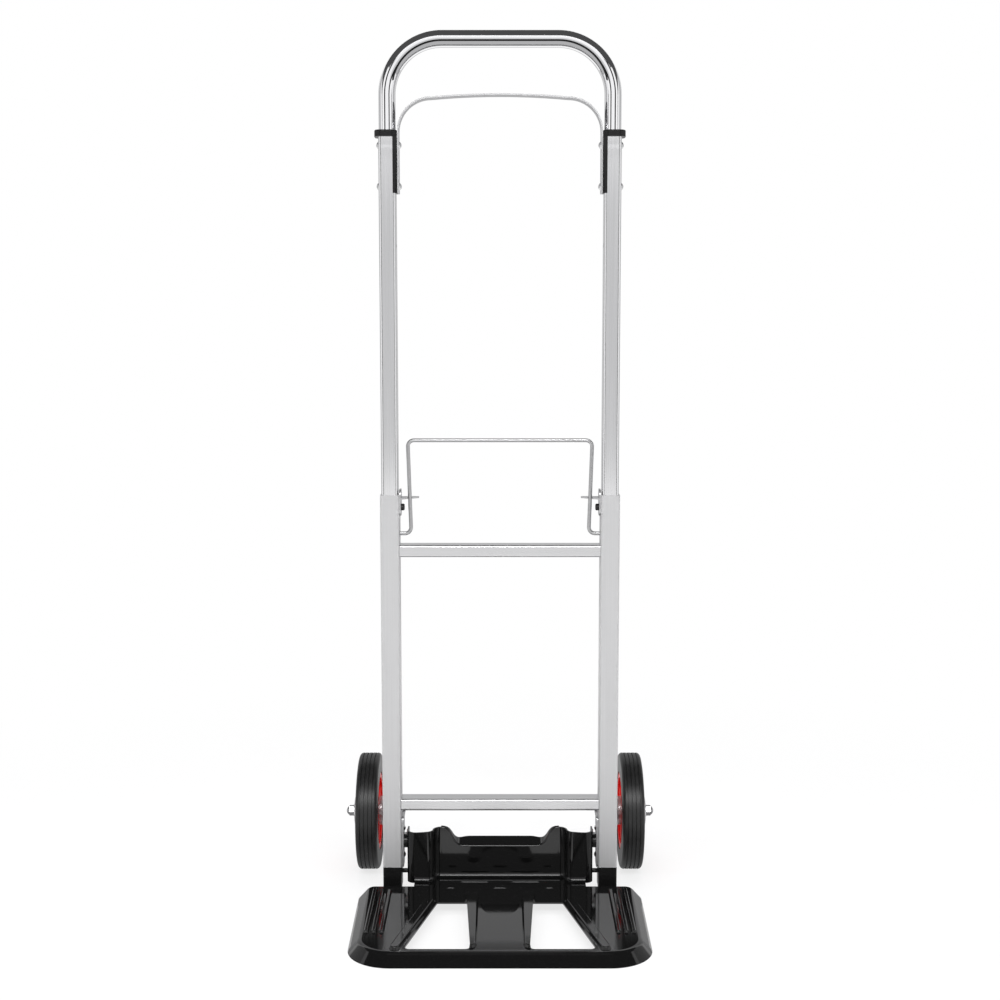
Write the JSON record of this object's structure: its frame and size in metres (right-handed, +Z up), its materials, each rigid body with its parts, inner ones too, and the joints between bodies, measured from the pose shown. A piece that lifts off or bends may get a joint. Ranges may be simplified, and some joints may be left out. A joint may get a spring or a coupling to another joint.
{
  "type": "hand truck",
  "caption": "Folding hand truck with a telescopic tube frame, a chrome loop handle, a pressed folding toe plate and wheels on swing-in arms.",
  "frame": {"origin": "on the floor, under the middle of the unfolded truck", "axes": "+X to the right seen from the front, +Y to the back where the wheels are, +Z up along the tubes"},
  "size_m": [0.43, 0.43, 1.13],
  "materials": {
    "lower_tube_aluminium": "satin anodised",
    "upper_tube_aluminium": "brighter drawn finish",
    "rivet_aluminium": "polished dome",
    "black_plastic": "moulded, fine grain",
    "zinc_steel": "zinc plated",
    "black_steel": "black oxide",
    "chrome": "mirror plated",
    "tyre_rubber": "ribbed rubber",
    "red_plastic": "moulded, glossy",
    "silver_plastic": "silver moulded",
    "black_paint": "gloss powder coat"
  },
  "bodies": {
    "frame": {"right_lower_tube": "lower_tube_aluminium", "left_lower_tube": "lower_tube_aluminium", "upper_crossbar": "lower_tube_aluminium", "lower_crossbar": "lower_tube_aluminium", "right_foot_cap": "black_plastic", "left_foot_cap": "black_plastic", "right_hinge_bracket": "zinc_steel", "left_hinge_bracket": "zinc_steel", "bracket_rivets": "rivet_aluminium", "right_hinge_pin": "zinc_steel", "left_hinge_pin": "zinc_steel", "right_pivot_bolt": "black_steel", "left_pivot_bolt": "black_steel", "right_pivot_spacer": "black_plastic", "left_pivot_spacer": "black_plastic", "pivot_nuts": "zinc_steel", "right_bail_bracket": "zinc_steel", "left_bail_bracket": "zinc_steel", "bail_bracket_screws": "black_steel"},
    "handle": {"chrome_handle": "chrome", "right_upper_tube": "upper_tube_aluminium", "left_upper_tube": "upper_tube_aluminium", "right_tube_guide": "black_plastic", "left_tube_guide": "black_plastic", "right_collar": "black_plastic", "left_collar": "black_plastic", "brace_strap": "upper_tube_aluminium", "handle_rivets": "rivet_aluminium"},
    "toe": {"toe_plate": "black_paint"},
    "bail": {"wire_bail": "zinc_steel"},
    "right_arm": {"right_wheel_arm": "zinc_steel", "right_axle_bolt": "zinc_steel", "right_axle_spacer": "zinc_steel", "right_axle_washer": "zinc_steel", "right_axle_nut": "chrome"},
    "left_arm": {"left_wheel_arm": "zinc_steel", "left_axle_bolt": "zinc_steel", "left_axle_spacer": "zinc_steel", "left_axle_washer": "zinc_steel", "left_axle_nut": "chrome"},
    "right_wheel": {"right_tyre": "tyre_rubber", "right_wheel_rim": "red_plastic", "right_hub_bushes": "silver_plastic"},
    "left_wheel": {"left_tyre": "tyre_rubber", "left_wheel_rim": "red_plastic", "left_hub_bushes": "silver_plastic"},
    "right_link": {"right_link_rod": "zinc_steel"},
    "left_link": {"left_link_rod": "zinc_steel"}
  },
  "joints": [
    {"name": "handle_slide", "type": "slide", "parent": "frame", "child": "handle", "axis": [0, 0, -1], "range_m": [0, 0.375]},
    {"name": "toe_fold", "type": "hinge", "parent": "frame", "child": "toe", "pos_m": [0, 0.048, 0.066], "axis": [-1, 0, 0], "range_deg": [0, 90]},
    {"name": "right_arm_fold", "type": "hinge", "parent": "frame", "child": "right_arm", "pos_m": [0.1378, 0.082, 0.08], "axis": [0, 0, 1], "range_deg": [0, 90]},
    {"name": "left_arm_fold", "type": "hinge", "parent": "frame", "child": "left_arm", "pos_m": [-0.1378, 0.082, 0.08], "axis": [0, 0, -1], "range_deg": [0, 90]},
    {"name": "right_wheel_spin", "type": "hinge", "parent": "right_arm", "child": "right_wheel", "pos_m": [0.18175, 0.135, 0.08], "axis": [1, 0, 0], "continuous": true},
    {"name": "left_wheel_spin", "type": "hinge", "parent": "left_arm", "child": "left_wheel", "pos_m": [-0.18175, 0.135, 0.08], "axis": [1, 0, 0], "continuous": true},
    {"name": "bail_swing", "type": "hinge", "parent": "frame", "child": "bail", "pos_m": [0, 0.05, 0.484], "axis": [1, 0, 0], "range_deg": [0, 125]},
    {"name": "right_link_swing", "type": "hinge", "parent": "toe", "child": "right_link", "pos_m": [0.12677, 0.05903, 0.05497], "axis": [1, 0, 0], "range_deg": [0, 90]},
    {"name": "left_link_swing", "type": "hinge", "parent": "toe", "child": "left_link", "pos_m": [-0.12677, 0.05903, 0.05497], "axis": [1, 0, 0], "range_deg": [0, 90]}
  ],
  "couplings": [
    {"joint": "right_arm_fold", "follows": "toe_fold", "ratio": 1},
    {"joint": "left_arm_fold", "follows": "toe_fold", "ratio": 1},
    {"joint": "right_link_swing", "follows": "toe_fold", "ratio": 1},
    {"joint": "left_link_swing", "follows": "toe_fold", "ratio": 1}
  ]
}
